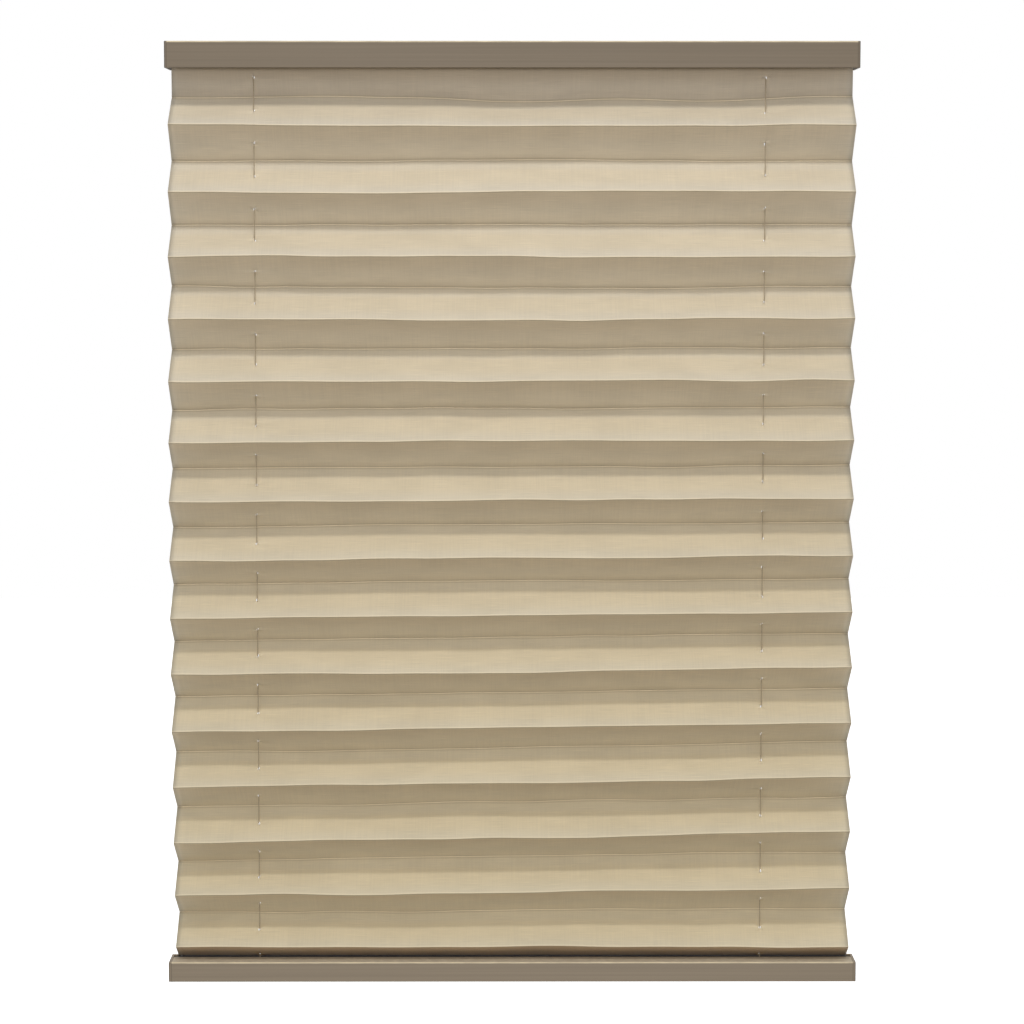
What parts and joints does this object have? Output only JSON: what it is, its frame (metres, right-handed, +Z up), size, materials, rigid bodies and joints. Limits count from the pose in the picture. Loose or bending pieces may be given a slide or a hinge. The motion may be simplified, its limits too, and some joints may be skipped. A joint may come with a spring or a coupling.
{
  "type": "pleated blind",
  "caption": "Cordless pleated window blind let down to its full drop: taupe metal headrail and bottom rail, folded beige fabric and hidden lift cords on a spring motor.",
  "frame": {"origin": "middle of the headrail's top face, where it meets the window frame", "axes": "+X to the right along the headrail, +Y back towards the window, +Z up"},
  "size_m": [0.711, 0.054, 0.965],
  "materials": {
    "painted_rail": "satin taupe powder coat",
    "rail_cap": "moulded, fine matt grain",
    "clear_strip": "extruded, smooth",
    "pleated_cloth": "crepe weave, pressed pleats",
    "housing_plastic": "moulded",
    "drum_plastic": "moulded, slightly waxy",
    "guide_plastic": "moulded",
    "steel_pin": "ground",
    "spring_steel": "rolled strip, oiled",
    "lift_cord": "braided"
  },
  "bodies": {
    "headrail": {"headrail": "painted_rail", "headrail_end_cap_left": "rail_cap", "headrail_end_cap_right": "rail_cap", "top_fabric_strip": "clear_strip", "pleated_fabric": "pleated_cloth", "motor_base": "housing_plastic", "motor_cover": "housing_plastic", "drum_axles": "steel_pin", "spring_band": "spring_steel", "cord_guide_left": "guide_plastic", "cord_guide_right": "guide_plastic", "lift_cord_left": "lift_cord", "lift_cord_right": "lift_cord"},
    "bottom_rail": {"bottom_rail": "painted_rail", "bottom_rail_end_cap_left": "rail_cap", "bottom_rail_end_cap_right": "rail_cap", "bottom_fabric_strip": "clear_strip", "cord_stop_left": "guide_plastic", "cord_stop_right": "guide_plastic"},
    "cord_spool_left": {"cord_spool_left": "drum_plastic"},
    "output_drum": {"output_drum": "drum_plastic"},
    "storage_drum": {"storage_drum": "drum_plastic"},
    "cord_spool_right": {"cord_spool_right": "drum_plastic"}
  },
  "joints": [
    {"name": "blind_lift", "type": "slide", "parent": "headrail", "child": "bottom_rail", "axis": [0, 0, 1], "range_m": [0, 0.875], "deforming": ["pleated_fabric", "lift_cord_left", "lift_cord_right"]},
    {"name": "cord_spool_left_turn", "type": "hinge", "parent": "headrail", "child": "cord_spool_left", "pos_m": [-0.039, 0.0095, -0.011], "axis": [0, 0, 1], "range_deg": [0, 5297]},
    {"name": "output_drum_turn", "type": "hinge", "parent": "headrail", "child": "output_drum", "pos_m": [-0.013, 0.0095, -0.011], "axis": [0, 0, 1], "range_deg": [-5297, 0]},
    {"name": "storage_drum_turn", "type": "hinge", "parent": "headrail", "child": "storage_drum", "pos_m": [0.013, 0.0095, -0.011], "axis": [0, 0, 1], "range_deg": [0, 5297]},
    {"name": "cord_spool_right_turn", "type": "hinge", "parent": "headrail", "child": "cord_spool_right", "pos_m": [0.039, 0.0095, -0.011], "axis": [0, 0, 1], "range_deg": [-5297, 0]}
  ],
  "couplings": [
    {"joint": "cord_spool_left_turn", "follows": "blind_lift", "rad_per_m": 105.26},
    {"joint": "output_drum_turn", "follows": "blind_lift", "rad_per_m": -105.26},
    {"joint": "storage_drum_turn", "follows": "blind_lift", "rad_per_m": 105.26},
    {"joint": "cord_spool_right_turn", "follows": "blind_lift", "rad_per_m": -105.26}
  ]
}
